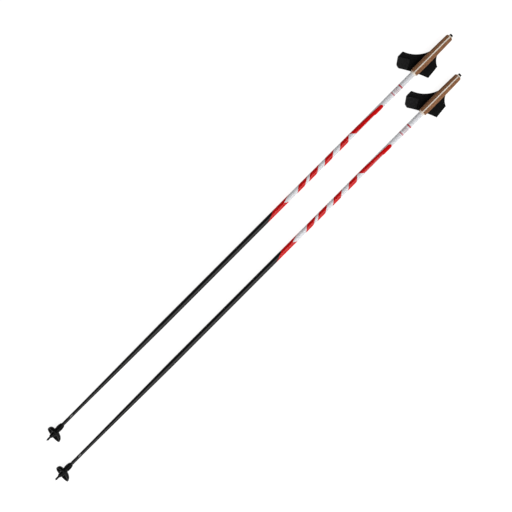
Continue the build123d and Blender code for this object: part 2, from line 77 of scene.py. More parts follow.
# ---------------------------------------------------------------- material helper
class Graph:
    """One material, with short calls for the nodes that make it."""

    def __init__(self, name, roughness=0.5, **settings):
        self.material = bpy.data.materials.new(name)
        self.material.use_nodes = True
        self.nodes = self.material.node_tree.nodes
        self.links = self.material.node_tree.links
        self.nodes.clear()
        self.shader = self.nodes.new("ShaderNodeBsdfPrincipled")
        output = self.nodes.new("ShaderNodeOutputMaterial")
        self.links.new(self.shader.outputs[0], output.inputs[0])
        self.set("Roughness", roughness)
        for key, value in settings.items():
            self.set(key.replace("_", " "), value)
        self.place = self.nodes.new("ShaderNodeTexCoord").outputs["Object"]

    def feed(self, socket, value):
        """Links the socket to another node's output, or sets it to a plain value."""
        if isinstance(value, bpy.types.NodeSocket):
            self.links.new(value, socket)
        else:
            socket.default_value = value

    def set(self, name, value):
        """Sets or links one socket of the shader, where a colour may be given as three numbers."""
        if isinstance(value, tuple) and len(value) == 3:
            value = (*value, 1.0)
        self.feed(self.shader.inputs[name], value)

    def math(self, operation, a, b=0.0, c=0.0):
        node = self.nodes.new("ShaderNodeMath")
        node.operation = operation
        for socket, value in zip(node.inputs, (a, b, c)):
            self.feed(socket, value)
        return node.outputs[0]

    def mix(self, factor, a, b):
        """Colour a where the factor is 0, and b where it is 1."""
        node = self.nodes.new("ShaderNodeMix")
        node.data_type = "RGBA"
        colours = [(*c, 1.0) if isinstance(c, tuple) else c for c in (a, b)]
        for socket, value in zip((node.inputs[0], node.inputs[6], node.inputs[7]), (factor, *colours)):
            self.feed(socket, value)
        return node.outputs[2]

    def moved(self, offset=(0, 0, 0), scale=(1, 1, 1), turn=(0, 0, 0)):
        """The place on the object, scaled, turned and moved."""
        node = self.nodes.new("ShaderNodeMapping")
        self.feed(node.inputs["Vector"], self.place)
        node.inputs["Location"].default_value = offset
        node.inputs["Rotation"].default_value = turn
        node.inputs["Scale"].default_value = scale
        return node.outputs[0]

    def split(self, vector):
        node = self.nodes.new("ShaderNodeSeparateXYZ")
        self.feed(node.inputs[0], vector)
        return node.outputs[0], node.outputs[1], node.outputs[2]

    def noise(self, scale, detail=3.0, roughness=0.5, vector=None):
        node = self.nodes.new("ShaderNodeTexNoise")
        self.feed(node.inputs["Vector"], vector or self.place)
        node.inputs["Scale"].default_value = scale
        node.inputs["Detail"].default_value = detail
        node.inputs["Roughness"].default_value = roughness
        return node.outputs["Fac"]

    def cells(self, scale, output="Color", feature="F1", vector=None):
        node = self.nodes.new("ShaderNodeTexVoronoi")
        node.feature = feature
        self.feed(node.inputs["Vector"], vector or self.place)
        node.inputs["Scale"].default_value = scale
        node.inputs["Randomness"].default_value = 1.0
        return node.outputs[output]

    def warped(self, vector, scale, amount):
        """The same place, pushed about by a noise of this scale, so that straight cell walls turn crooked."""
        noise = self.nodes.new("ShaderNodeTexNoise")
        self.feed(noise.inputs["Vector"], vector)
        noise.inputs["Scale"].default_value = scale
        push = self.nodes.new("ShaderNodeVectorMath")
        push.operation = "MULTIPLY_ADD"
        for socket, value in zip(push.inputs, (noise.outputs["Color"], (amount, amount, amount), vector)):
            self.feed(socket, value)
        return push.outputs[0]

    def ramp(self, value, low, high, out_low=0.0, out_high=1.0, smooth=True):
        """Maps low to high onto the two outputs, and stays level beyond them."""
        node = self.nodes.new("ShaderNodeMapRange")
        node.interpolation_type = "SMOOTHSTEP" if smooth else "LINEAR"
        for socket, number in zip(node.inputs, (value, low, high, out_low, out_high)):
            self.feed(socket, number)
        return node.outputs[0]

    def edge(self, distance, soft=0.25):
        """A mask that turns from 0 to 1 where the distance passes 0."""
        return self.ramp(distance, -soft, soft)

    def inverse(self, mask):
        return self.math("SUBTRACT", 1.0, mask)

    def near(self, value, centre, reach, soft):
        """A mask of the places where the value is within reach of the centre."""
        distance = self.math("ABSOLUTE", self.math("SUBTRACT", value, centre))
        return self.inverse(self.ramp(distance, reach, reach + soft))

    def both(self, *masks):
        """Where all of these masks are 1."""
        result = masks[0]
        for mask in masks[1:]:
            result = self.math("MULTIPLY", result, mask)
        return result

    def either(self, *masks):
        """Where any of these masks is 1."""
        result = masks[0]
        for mask in masks[1:]:
            result = self.math("MAXIMUM", result, mask)
        return result

    def bump(self, height, distance, strength=1.0):
        """Relief in the surface's normal, for grain too fine for the mesh."""
        node = self.nodes.new("ShaderNodeBump")
        node.inputs["Strength"].default_value = strength
        node.inputs["Distance"].default_value = distance
        self.feed(node.inputs["Height"], height)
        self.links.new(node.outputs[0], self.shader.inputs["Normal"])


# ---------------------------------------------------------------- painted shaft
WHITE, WHITE_SHADE = (0.80, 0.81, 0.84), (0.77, 0.78, 0.81)
RED, RED_SHADE = (0.68, 0.003, 0.004), (0.60, 0.0026, 0.0036)
CARBON, CARBON_STREAK = (0.0015, 0.0015, 0.0016), (0.006, 0.006, 0.0062)
LOW_MARK_GREY = (0.20, 0.20, 0.20)
FINE_RING_RED, PALE_RING_RED, RING_RED = (0.50, 0.24, 0.26), (0.64, 0.27, 0.31), (0.58, 0.055, 0.075)

# Places are mm along the pole from the spike, at the front of the tube. A slope is how many mm an edge moves
# along the pole for each radian round the tube, and a turn is an angle round the tube.
BLACK_END, BLACK_END_SLOPE, BLACK_END_LIMIT = 915.5, 17.0, 926.5
FIELD_END, FIELD_END_SLOPES = 968.0, (23.6, -10.8)
BARS = (  # start, end and the slope of the end
    (1024.6, 1057.8, 11.5),
    (1071.6, 1105.4, 10.5),
    (1133.2, 1166.5, 9.3),
    (1195.0, 1229.6, 8.0),
)
BAR_START_SLOPE = 8.7
BAR_REACH = 2.72  # the bars stop this far round the tube, and leave a seam along its back
STROKE_START, STROKE_START_SLOPE, STROKE_END = 1248.3, -8.8, 1366.5
STROKE_SHOULDER = (1277.0, 1281.0, 1.42, 1.04)  # along the pole from, to, and the upper edge's turn there
STROKE_FALL = (1281.0, 1354.0, 0.0, 0.52)  # the same for how far the upper edge then falls
STROKE_SWELL = (1327.0, 1336.0, -0.78, -1.42)  # the same for the lower edge
STROKE_TIP_TURN, STROKE_TIP_BEND = -0.35, -9.0
RED_RING, RED_RING_WIDTH = 1440.3, 4.4
PALE_RING, PALE_RING_WIDTH = 1409.5, 4.2
FINE_RINGS, FINE_RING_WIDTH = (1418.5, 1422.5, 1426.5, 1430.5), 1.0
RING_BLUR = 0.2
LOW_MARK, LOW_MARK_REACH = (103.0, 0.05), (5.0, 0.26)  # along the pole and round it


def red_marks(g, x, turn):
    """The four slanted bars and the long brush stroke, as one mask."""

    def past(at_front, slope):
        """How far a point lies beyond a slanted line, in mm along the pole."""
        return g.edge(g.math("SUBTRACT", x, g.math("MULTIPLY_ADD", turn, slope, at_front)))

    bars = [g.both(past(start, BAR_START_SLOPE), g.inverse(past(end, slope))) for start, end, slope in BARS]
    bars = g.both(g.either(*bars), g.near(turn, 0.0, BAR_REACH, 0.04))

    # the stroke has a slanted start, a slowly falling upper edge and a swollen round end
    upper = g.math("SUBTRACT", g.ramp(x, *STROKE_SHOULDER), g.ramp(x, *STROKE_FALL, smooth=False))
    lower = g.ramp(x, *STROKE_SWELL)
    from_tip = g.math("SUBTRACT", turn, STROKE_TIP_TURN)
    end = g.math("ADD", g.math("MULTIPLY", g.math("POWER", from_tip, 2.0), STROKE_TIP_BEND), STROKE_END)
    stroke = g.both(
        past(STROKE_START, STROKE_START_SLOPE),
        g.inverse(g.edge(g.math("SUBTRACT", x, end))),
        g.edge(g.math("SUBTRACT", upper, turn), 0.03),
        g.edge(g.math("SUBTRACT", turn, lower), 0.03),
    )
    return g.either(bars, stroke)


def painted_shaft(side):
    """Clear-coated carbon with a white upper half and red marks, drawn on the tube as it unrolls."""
    spike = places[side][0]
    g = Graph(f"{side}_shaft_paint", 0.45)
    g.set("Specular IOR Level", 0.0)
    g.set("Coat Weight", 0.55)
    g.set("Coat Roughness", 0.04)
    g.set("Coat IOR", 1.6)
    x, y, z = g.split(g.moved(offset=tuple(-c / MM for c in spike), scale=(1 / MM,) * 3))
    turn = g.math("ARCTAN2", y, z)  # 0 along the front of the tube, positive towards +Y

    # where the black carbon ends, and the red field that follows it up to a notched end
    slant = g.math("MULTIPLY_ADD", turn, BLACK_END_SLOPE, BLACK_END)
    past_black = g.edge(g.math("SUBTRACT", x, g.math("MINIMUM", slant, BLACK_END_LIMIT)))
    notch = g.math("MAXIMUM", *[g.math("MULTIPLY", turn, slope) for slope in FIELD_END_SLOPES])
    past_field = g.edge(g.math("SUBTRACT", g.math("SUBTRACT", x, FIELD_END), notch))
    field = g.both(past_black, g.inverse(past_field))

    # plain rings under the grip, and a small pale mark low on the carbon
    red_ring = g.near(x, RED_RING, RED_RING_WIDTH / 2, RING_BLUR)
    pale_ring = g.near(x, PALE_RING, PALE_RING_WIDTH / 2, RING_BLUR)
    fine_rings = g.either(*[g.near(x, ring, FINE_RING_WIDTH / 2, RING_BLUR) for ring in FINE_RINGS])
    low_mark = g.both(
        g.near(x, LOW_MARK[0], LOW_MARK_REACH[0], 0.4),
        g.near(turn, LOW_MARK[1], LOW_MARK_REACH[1], 0.08),
    )

    # carbon: fine streaks along the tube; paint: very slight mottling under the coat
    streaks = g.noise(1.0, 4.0, 0.6, g.moved(scale=(60, 2600, 2600)))
    carbon = g.mix(low_mark, g.mix(streaks, CARBON, CARBON_STREAK), LOW_MARK_GREY)
    mottle = g.noise(180.0, 2.0)
    red = g.mix(mottle, RED_SHADE, RED)
    paint = g.mix(fine_rings, g.mix(mottle, WHITE_SHADE, WHITE), FINE_RING_RED)
    paint = g.mix(pale_ring, paint, PALE_RING_RED)
    paint = g.mix(red_ring, paint, RING_RED)
    paint = g.mix(g.either(field, red_marks(g, x, turn)), paint, red)
    g.set("Base Color", g.mix(past_black, carbon, paint))
    # the paint stands a little above the carbon, and the clear coat has faint orange peel
    lay = g.math("MULTIPLY", streaks, g.math("MULTIPLY_ADD", past_black, -0.2, 0.2))
    peel = g.math("MULTIPLY_ADD", g.noise(420.0, 1.0), 0.12, lay)
    g.bump(g.math("ADD", peel, past_black), 0.00004, 0.4)
    g.set("Roughness", g.ramp(streaks, 0.2, 0.8, 0.38, 0.52))
    return g.material


# ---------------------------------------------------------------- grip, basket and tip materials
def cork():
    """Pressed cork: packed granules of uneven brown, dark specks and small open pits."""
    g = Graph("cork", 0.82)
    g.set("Specular IOR Level", 0.2)
    warp = g.warped(g.moved(scale=(1, 1.25, 1.25)), 900.0, 0.0011)
    grains = g.cells(620.0, vector=warp)
    tone = g.split(grains)[0]
    fine = g.split(g.cells(1500.0, vector=warp))[1]
    drift = g.noise(55.0, 3.0, 0.6)
    colour = g.mix(g.ramp(tone, 0.05, 0.95), (0.178, 0.073, 0.030), (0.43, 0.200, 0.093))
    colour = g.mix(g.math("MULTIPLY", g.ramp(fine, 0.5, 1.0), 0.35), colour, (0.54, 0.28, 0.135))
    colour = g.mix(g.math("MULTIPLY", g.ramp(drift, 0.35, 0.7), 0.4), colour, (0.235, 0.100, 0.043))
    edges = g.cells(620.0, "Distance", "DISTANCE_TO_EDGE", warp)
    seams = g.ramp(edges, 0.0, 0.07)
    specks = g.ramp(g.cells(260.0, "Distance"), 0.10, 0.20)
    joint = g.mix(g.ramp(g.noise(300.0, 2.0), 0.4, 0.6), (0.080, 0.036, 0.017), (0.19, 0.088, 0.041))
    colour = g.mix(seams, joint, colour)
    colour = g.mix(specks, (0.045, 0.022, 0.012), colour)
    g.set("Base Color", colour)
    g.set("Roughness", g.ramp(tone, 0.0, 1.0, 0.72, 0.9))
    relief = g.math("ADD", g.math("MULTIPLY", seams, 0.5), g.math("MULTIPLY", specks, 0.8))
    g.bump(g.math("ADD", relief, g.math("MULTIPLY", tone, 0.3)), 0.00018, 0.8)
    return g.material


def moulded(name, colour, roughness, grain=1400.0, depth=0.00003, specular=0.4):
    """Injection-moulded plastic with a fine spark-eroded texture and slight handling marks."""
    g = Graph(name, roughness)
    g.set("Specular IOR Level", specular)
    texture = g.noise(grain, 2.0, 0.6)
    wear = g.noise(70.0, 4.0, 0.65)
    pale = tuple(min(1.0, c * 1.25) for c in colour)
    g.set("Base Color", g.mix(g.ramp(wear, 0.35, 0.75), colour, pale))
    g.set("Roughness", g.ramp(wear, 0.3, 0.75, roughness - 0.06, roughness + 0.08))
    g.bump(texture, depth, 0.7)
    return g.material


def metal(name, dark, pale, roughness):
    """Turned metal, with fine rings left by the tool and a few long scratches."""
    g = Graph(name, roughness, Metallic=1.0)
    rings = g.noise(1.0, 3.0, 0.6, g.moved(scale=(5200, 300, 300)))
    scratches = g.noise(1.0, 2.0, 0.5, g.moved(scale=(120, 2400, 2400)))
    g.set("Base Color", g.mix(rings, dark, pale))
    g.set("Roughness", g.ramp(scratches, 0.3, 0.7, roughness - 0.08, roughness + 0.12))
    g.bump(g.math("ADD", rings, g.math("MULTIPLY", scratches, 0.5)), 0.00002, 0.6)
    return g.material


def foam():
    """Closed-cell foam, pale and full of small bubbles, with painted shade in the hollow of each bubble."""
    g = Graph("plug_foam", 0.9)
    bubbles = g.cells(1300.0, "Distance")
    # painted shade: the colour darkens towards the middle of each bubble, where the surface dips
    g.set("Base Color", g.mix(g.ramp(bubbles, 0.1, 0.6), (0.66, 0.65, 0.60), (0.82, 0.81, 0.77)))
    g.bump(bubbles, 0.0002, 0.8)
    return g.material


# ---------------------------------------------------------------- fabrics
def woven(name, colour, pitch, turn=0.0, roughness=0.8, depth=0.00012, sheen=0.04, gloss=0.14):
    """A plain weave: threads of this pitch cross at right angles, turned by an angle in the flat plane. The
    gaps between the threads carry painted shade.
    """
    g = Graph(name, roughness)
    g.set("Specular IOR Level", gloss)
    g.set("Sheen Weight", sheen)
    g.set("Sheen Roughness", 0.45)
    k = math.pi / (pitch * MM)
    u, v, _ = g.split(g.moved(turn=(0, 0, turn)))
    over = g.math("ABSOLUTE", g.math("SINE", g.math("MULTIPLY", u, k)))
    under = g.math("ABSOLUTE", g.math("SINE", g.math("MULTIPLY", v, k)))
    halves = [g.math("SINE", g.math("MULTIPLY", way, k / 2)) for way in (u, v)]
    swap = g.edge(g.math("MULTIPLY", *halves), 0.15)
    weave = g.math("ADD", g.math("MULTIPLY", over, swap), g.math("MULTIPLY", under, g.inverse(swap)))
    fuzz = g.noise(4200.0, 2.0, 0.7)
    drift = g.noise(120.0, 3.0)
    # dark is painted shade for the gaps between the threads, where the weave dips; pale is the cloth's own
    # slow drift in tone
    dark = tuple(c * 0.45 for c in colour)
    pale = tuple(c * 1.5 for c in colour)
    shade = g.mix(g.ramp(weave, 0.15, 0.9), dark, colour)
    g.set("Base Color", g.mix(g.math("MULTIPLY", g.ramp(drift, 0.4, 0.7), 0.5), shade, pale))
    g.bump(g.math("MULTIPLY_ADD", fuzz, 0.35, weave), depth, 0.9)
    return g.material


def pile(name, colour, scale, depth):
    """Loop pile or hooks: a dense bed of small raised tufts, with painted shade between the tufts and painted
    light on their tops.
    """
    g = Graph(name, 0.92)
    g.set("Sheen Weight", 0.5)
    g.set("Specular IOR Level", 0.15)
    tufts = g.cells(scale, "Distance")
    lift = g.ramp(tufts, 0.0, 0.6, 1.0, 0.0)
    # painted shade in the gaps between the tufts and painted light on their tops, following the tuft height
    g.set("Base Color", g.mix(lift, tuple(c * 0.4 for c in colour), tuple(c * 1.4 for c in colour)))
    g.bump(g.math("MULTIPLY_ADD", g.noise(5000.0, 2.0), 0.4, lift), depth, 1.0)
    return g.material


def thread():
    """Twisted polyester thread, a little paler and glossier than the cloth round it, with painted shade in
    the grooves of its twist.
    """
    g = Graph("stitching_thread", 0.55)
    g.set("Sheen Weight", 0.05)
    g.set("Specular IOR Level", 0.25)
    x, y, z = g.split(g.moved(scale=(5200, 5200, 5200)))
    twist = g.math("SINE", g.math("ADD", x, g.math("ADD", y, g.math("MULTIPLY", z, 2.0))))
    # painted shade: the colour darkens in the grooves of the twist, where the bump sinks
    g.set("Base Color", g.mix(g.ramp(twist, -0.8, 0.8), (0.012, 0.012, 0.0125), (0.034, 0.034, 0.035)))
    g.bump(twist, 0.00005, 0.6)
    return g.material


STRAP_TURN = math.radians(-33)  # the cloth is cut along the end edge of the strap
WEBBING_TURN = math.radians(45)
materials = {
    "cork": cork(),
    "cream": moulded("cream_plastic", (0.86, 0.76, 0.66), 0.42),
    "wedge": moulded("wedge_plastic", (0.004, 0.004, 0.0042), 0.40, specular=0.25),
    "ferrule": moulded("ferrule_plastic", (0.0014, 0.0014, 0.0015), 0.32, specular=0.12),
    "basket": moulded(
        "basket_plastic", (0.0016, 0.0016, 0.0017), 0.35, grain=900.0, depth=0.00005, specular=0.12
    ),
    "steel": metal("blackened_steel", (0.010, 0.010, 0.011), (0.035, 0.035, 0.038), 0.38),
    "carbide": metal("ground_carbide", (0.42, 0.42, 0.43), (0.66, 0.66, 0.67), 0.30),
    "foam": foam(),
    "shell": woven("strap_shell_cloth", (0.0040, 0.0041, 0.0043), 0.55, STRAP_TURN),
    "tape": woven("edge_tape", (0.0031, 0.0031, 0.0033), 0.42, STRAP_TURN, roughness=0.7, depth=0.00008),
    "tab": woven(
        "tab_cloth", (0.0076, 0.0076, 0.0079), 0.38, STRAP_TURN, roughness=0.62, depth=0.00008, sheen=0.05,
        gloss=0.2,
    ),
    "webbing": woven(
        "webbing_cloth", (0.008, 0.008, 0.0085), 0.9, WEBBING_TURN, roughness=0.7, depth=0.00025
    ),
    "pile": pile("loop_pile", (0.02, 0.02, 0.021), 1700.0, 0.0004),
    "thread": thread(),
}

hard_looks = {
    "upper_plug": "foam",
    "lower_plug": "foam",
    "ferrule": "ferrule",
    "basket": "basket",
    "spike_holder": "steel",
    "carbide_spike": "carbide",
    "grip_core": "cream",
    "cork_thumb_half": "cork",
    "cork_finger_half": "cork",
    "grip_collar": "cream",
    "wedge_housing": "cream",
    "strap_wedge": "wedge",
}


def dress(obj, material):
    """Gives a CAD solid its only material."""
    obj.data.materials.clear()
    obj.data.materials.append(material)


for side in SIDES:
    dress(nodes[f"{side}_shaft"], painted_shaft(side))
    for name, look in hard_looks.items():
        dress(nodes[f"{side}_{name}"], materials[look])


# ---------------------------------------------------------------- strap: outlines in mm, x along the pole
def arc(a, b, c, steps=24):
    """Points on the circle through a, b and c, from a to just before c."""
    (ax, ay), (bx, by), (cx, cy) = a, b, c
    d = 2 * (ax * (by - cy) + bx * (cy - ay) + cx * (ay - by))
    sa, sb, sc = ax * ax + ay * ay, bx * bx + by * by, cx * cx + cy * cy
    ox = (sa * (by - cy) + sb * (cy - ay) + sc * (ay - by)) / d
    oy = (sa * (cx - bx) + sb * (ax - cx) + sc * (bx - ax)) / d
    r = math.hypot(ax - ox, ay - oy)
    angles = [math.atan2(py - oy, px - ox) for px, py in (a, b, c)]
    full = 2 * math.pi
    span = (angles[2] - angles[0]) % full
    if (angles[1] - angles[0]) % full > span:
        span -= full
    return [
        (ox + r * math.cos(angles[0] + span * i / steps), oy + r * math.sin(angles[0] + span * i / steps))
        for i in range(steps)
    ]


# The folded strap seen from above: its fold, its closed end, the curved sides and the webbing's end
FOLD_LOW, FOLD_HIGH = (18.2, -39.7), (59.4, -35.3)
CLOSED_END = [(-22.8, 41.5), (-20.2, 52.4), (0.4, 66.8)]
WEBBING_END = [(90.0, 8.5), (90.0, -9.0)]
band_edge = (
    arc(FOLD_LOW, (0.8, 0.9), CLOSED_END[0])
    + CLOSED_END
    + arc((20.8, 66.8), (42.9, 32.4), WEBBING_END[0])
    + WEBBING_END[:1]
    + arc(WEBBING_END[1], (71.3, -19.0), FOLD_HIGH)
    + [FOLD_HIGH]
)
TAB_ROOT = ((-8.7, 18.3), (20.4, 34.5))  # the closing tab is sewn on here
tab_edge = [TAB_ROOT[0]] + CLOSED_END + [TAB_ROOT[1]]

# heights above the surface, in mm
LEAF_MID = {"upper": 3.4, "lower": 1.0}
FOLD_MID = 2.2
UPPER_TOP, UPPER_UNDER, LOWER_TOP, LOWER_UNDER = 4.38, 2.45, 1.98, 0.12
PATCH_UNDER, PATCH_TOP = 4.2, 4.7
TAB_UNDER, TAB_TOP = 5.42, 6.42
WEBBING_MID, WEBBING_TOP = 5.22, 5.96
LEAF_LOWEST, TAPE_LOWEST, SEAM_LOWEST = 0.03, 0.02, 0.005  # they are cut off here, just above the surface
ROLL = 1.2  # radius of the fold, to the middle of the cloth
FOLD_CUT = ROLL + 0.95  # how far inside the fold line the flat layers stop
UP = Vector((0, 0, 1))
fold_dir = Vector((FOLD_HIGH[0] - FOLD_LOW[0], FOLD_HIGH[1] - FOLD_LOW[1], 0)).normalized()
fold_out = Vector((fold_dir.y, -fold_dir.x, 0))
fold_base = Vector((*FOLD_LOW, 0))


def resampled(points, step, closed=True, smooth=0):
    """The polyline with evenly spaced points, its corners softened by smooth rounds of averaging."""
    ends = points + [points[0]] if closed else points
    lengths = [math.dist(ends[i], ends[i + 1]) for i in range(len(ends) - 1)]
    count = max(8, round(sum(lengths) / step))
    out, run, k = [], 0.0, 0
    for i in range(count if closed else count + 1):
        at = sum(lengths) * i / count
        while k < len(lengths) - 1 and run + lengths[k] < at:
            run += lengths[k]
            k += 1
        t = (at - run) / max(lengths[k], 1e-9)
        out.append(tuple(ends[k][j] + t * (ends[k + 1][j] - ends[k][j]) for j in range(2)))
    n = len(out)
    for _ in range(smooth):
        out = [
            out[i]
            if not closed and i in (0, n - 1)
            else tuple((out[i - 1][j] + 2 * out[i][j] + out[(i + 1) % n][j]) / 4 for j in range(2))
            for i in range(n)
        ]
    return out


def inward(points, closed=True):
    """Unit normals at each point, turned in."""
    n = len(points)
    out = []
    for i in range(n):
        a = points[i - 1] if closed or i else points[0]
        b = points[(i + 1) % n] if closed or i < n - 1 else points[-1]
        dx, dy = b[0] - a[0], b[1] - a[1]
        long = math.hypot(dx, dy) or 1.0
        out.append((dy / long, -dx / long))
    return out


def offset(points, distance, closed=True):
    """The outline moved in by a distance."""
    return [(p[0] + n[0] * distance, p[1] + n[1] * distance) for p, n in zip(points, inward(points, closed))]


def inside(point, points):
    """Whether a point lies within the closed outline."""
    x, y = point
    result = False
    for (ax, ay), (bx, by) in zip(points, points[1:] + points[:1]):
        if (ay > y) != (by > y) and x < (bx - ax) * (y - ay) / (by - ay) + ax:
            result = not result
    return result


def clearance(point, points):
    """Distance from a point to the closed outline."""
    best = 1e9
    x, y = point
    for (ax, ay), (bx, by) in zip(points, points[1:] + points[:1]):
        dx, dy = bx - ax, by - ay
        t = max(0.0, min(1.0, ((x - ax) * dx + (y - ay) * dy) / (dx * dx + dy * dy + 1e-12)))
        best = min(best, math.hypot(x - ax - t * dx, y - ay - t * dy))
    return best


CROWDED = 0.15  # a row drops the points whose distance from the edge is off by more than this, in mm
ROW_RISE = 0.866  # the height of an even triangle, as a share of its side


def cloth_face(outline, rings, step):
    """Triangles that fill the outline: rows of points follow its edge, and an even lattice fills the rest."""
    points = list(outline)
    for distance in rings:
        ring = [p for p in offset(outline, distance) if inside(p, outline)]
        points += [p for p in ring if abs(clearance(p, outline) - distance) < CROWDED]
    low = [min(p[j] for p in outline) for j in range(2)]
    high = [max(p[j] for p in outline) for j in range(2)]
    for row in range(math.ceil((high[1] - low[1]) / (step * ROW_RISE))):
        y = low[1] + row * step * ROW_RISE
        start = low[0] + (row % 2) * step / 2
        for column in range(math.ceil((high[0] - start) / step)):
            point = (start + column * step, y)
            if inside(point, outline) and clearance(point, outline) > rings[-1] + step * 0.6:
                points.append(point)
    edge = [(i, (i + 1) % len(outline)) for i in range(len(outline))]
    verts, _, faces, _, _, _ = delaunay_2d_cdt([Vector(p) for p in points], edge, [], 1, 1e-5)
    return [tuple(v) for v in verts], faces


def new_piece(name, verts, faces, material, body=None):
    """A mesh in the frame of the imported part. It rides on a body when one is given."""
    mesh = bpy.data.meshes.new(name)
    mesh.from_pydata([tuple(v) for v in verts], [], faces)
    mesh.validate()
    bm = bmesh.new()
    bm.from_mesh(mesh)
    bmesh.ops.recalc_face_normals(bm, faces=bm.faces)
    bm.to_mesh(mesh)
    bm.free()
    mesh.polygons.foreach_set("use_smooth", [True] * len(mesh.polygons))
    obj = bpy.data.objects.new(name, mesh)
    scene.collection.objects.link(obj)
    mesh.materials.append(material)
    if body:
        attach(obj, body)
    return obj


class Strap:
    """Makes one pole's strap from points in mm: x and y as in its outline, z above the surface."""

    def __init__(self, side):
        spike, foot = places[side]
        self.side, self.foot, self.y = side, foot, spike.y

    def at(self, x, y, z):
        return Vector((self.foot + x * MM, self.y + y * MM, z * MM))

    def piece(self, name, shape, look, body=None, lowest=-math.inf):
        """A piece of this strap from (points, faces), with no point under the lowest height."""
        points, faces = shape
        verts = [self.at(x, y, max(z, lowest)) for x, y, z in points]
        return new_piece(f"{self.side}_{name}", verts, faces, materials[look], body and f"{self.side}_{body}")


def leaf(outline, rings, step, under, over):
    """A closed padded layer: under(p, d) and over(p, d) give its heights at point p, d mm from its edge."""
    flat, faces = cloth_face(outline, rings, step)
    away = [clearance(p, outline) for p in flat]
    n = len(flat)
    verts = [(*p, over(p, d)) for p, d in zip(flat, away)] + [(*p, under(p, d)) for p, d in zip(flat, away)]
    edges = {(a, b): None for f in faces for a, b in zip(f, f[1:] + f[:1])}
    rim = [(a, b) for a, b in edges if (b, a) not in edges]
    solid = [tuple(f) for f in faces] + [tuple(i + n for i in reversed(f)) for f in faces]
    solid += [(b, a, a + n, b + n) for a, b in rim]
    return verts, solid


def merged(*parts):
    """Several (points, faces) as one."""
    verts, faces = [], []
    for v, f in parts:
        base = len(verts)
        verts += v
        faces += [tuple(i + base for i in face) for face in f]
    return verts, faces


def swept(path, profile, closed):
    """A tube: each path item is (point, across, out) and the profile is in (across, out)."""
    verts, faces = [], []
    m = len(profile)
    for point, across, out in path:
        verts += [tuple(point + across * a + out * b) for a, b in profile]
    n = len(path)
    for i in range(n if closed else n - 1):
        j = (i + 1) % n
        for k in range(m):
            after = (k + 1) % m
            faces.append((i * m + k, i * m + after, j * m + after, j * m + k))
    if not closed:
        faces += [tuple(range(m)), tuple(reversed(range((n - 1) * m, n * m)))]
    return verts, faces


# along a stitch from 0 to 1: how wide and how high it is, as shares of its full size
STITCH_SECTIONS = (
    (0.0, 0.4, -0.25),
    (0.18, 0.9, 0.75),
    (0.5, 1.0, 1.0),
    (0.82, 0.9, 0.75),
    (1.0, 0.4, -0.25),
)
STITCH_PROFILE = ((-1, -0.5), (-0.55, 0.75), (0.55, 0.75), (1, -0.5))
STITCH_WIDTH, STITCH_HEIGHT = 0.42, 0.24


def stitch(a, b, up):
    """One raised thread from a to b."""
    across = up.cross((b - a).normalized()).normalized()
    path = []
    for along, wide, tall in STITCH_SECTIONS:
        path.append((a.lerp(b, along), across * (wide * STITCH_WIDTH / 2), up * (tall * STITCH_HEIGHT)))
    return swept(path, STITCH_PROFILE, False)


def stitches(runs, length=2.3, gap=0.8):
    """Short raised threads along runs of (point, normal), in mm."""
    threads = []
    for run in runs:
        lengths = [0.0]
        for (a, _), (b, _) in zip(run, run[1:]):
            lengths.append(lengths[-1] + (b - a).length)
        at = gap / 2
        while at + length < lengths[-1]:
            ends = []
            for s in (at, at + length):
                k = max(i for i in range(len(run) - 1) if lengths[i] <= s)
                t = (s - lengths[k]) / max(lengths[k + 1] - lengths[k], 1e-9)
                ends.append((run[k][0].lerp(run[k + 1][0], t), run[k][1]))
            threads.append(stitch(ends[0][0], ends[1][0], ends[0][1]))
            at += length + gap
    return merged(*threads)


def past_fold(point):
    """How far a point lies inside the fold line."""
    return -(Vector((point[0], point[1], 0)) - fold_base).dot(fold_out)


def open_at_fold(points, depth):
    """The outline without its stretch at the fold: it runs from the fold's low end round to its high end."""
    n = len(points)
    first = next(i for i in range(n) if past_fold(points[i]) > depth >= past_fold(points[i - 1]))
    run = [points[(first + i) % n] for i in range(n) if past_fold(points[(first + i) % n]) > depth]

    def crossing(near, beyond):
        a, b = past_fold(near), past_fold(beyond)
        t = (a - depth) / (a - b)
        return tuple(near[j] + t * (beyond[j] - near[j]) for j in range(2))

    return [crossing(run[0], points[first - 1])] + run + [crossing(run[-1], points[(first + len(run)) % n])]


def undulation(p):
    """Slow waves of a tenth or two of a millimetre, so that the cloth doesn't lie dead flat."""
    x, y = p
    return 0.10 * math.sin(x * 0.11 + y * 0.07) + 0.08 * math.sin(y * 0.17 - x * 0.05 + 1.3)


def rounded(d, height, reach):
    """A surface that rises from its edge to this height, most of it within reach."""
    return height * (1 - math.exp(-d / reach))


def groove(d, place, half_width, depth):
    """How far a row of stitches at this place presses the surface in."""
    return depth * math.exp(-(((d - place) / half_width) ** 2))


def padding(d):
    """The swell of the foam away from the edge, with a groove along the row of stitches."""
    return rounded(d, 0.75, 2.6) - groove(d, 5.0, 0.55, 0.42)


LEAF_INSET = 0.7  # the leaves stop this far inside the outline, under the tape
FOLD_OVERLAP = 0.4  # and run this far past the cut, into the roll of the fold
LEAF_RINGS = (0.8, 1.8, 3.2, 4.2, 4.6, 5.0, 5.4, 5.9, 7.2)  # rows of points, closest at the groove
BAND_STEP = 2.4  # and the spacing of the lattice inside them
EDGE_PINCH = 0.62  # the tape pinches the padding by this much
ROLL_STEPS, ROLL_ARC = 32, 12
ROLL_OUT, ROLL_IN = ROLL + 0.92, 0.25
TAPE_TURNS = 8
TAPE_PROFILE = (
    (2.75, 0.70), (2.5, 0.92), (1.6, 0.98), (0.7, 0.96), (0.22, 0.72), (0.02, 0.3),
    (0.02, -0.3), (0.22, -0.70), (0.7, -0.92), (1.6, -0.94), (2.6, -0.92), (2.6, 0.2),
)
TAPE_SEAM, INNER_SEAM = 1.55, 5.7
LOWER_SEAM_TOP, INNER_SEAM_TOP = 0.10, 4.02


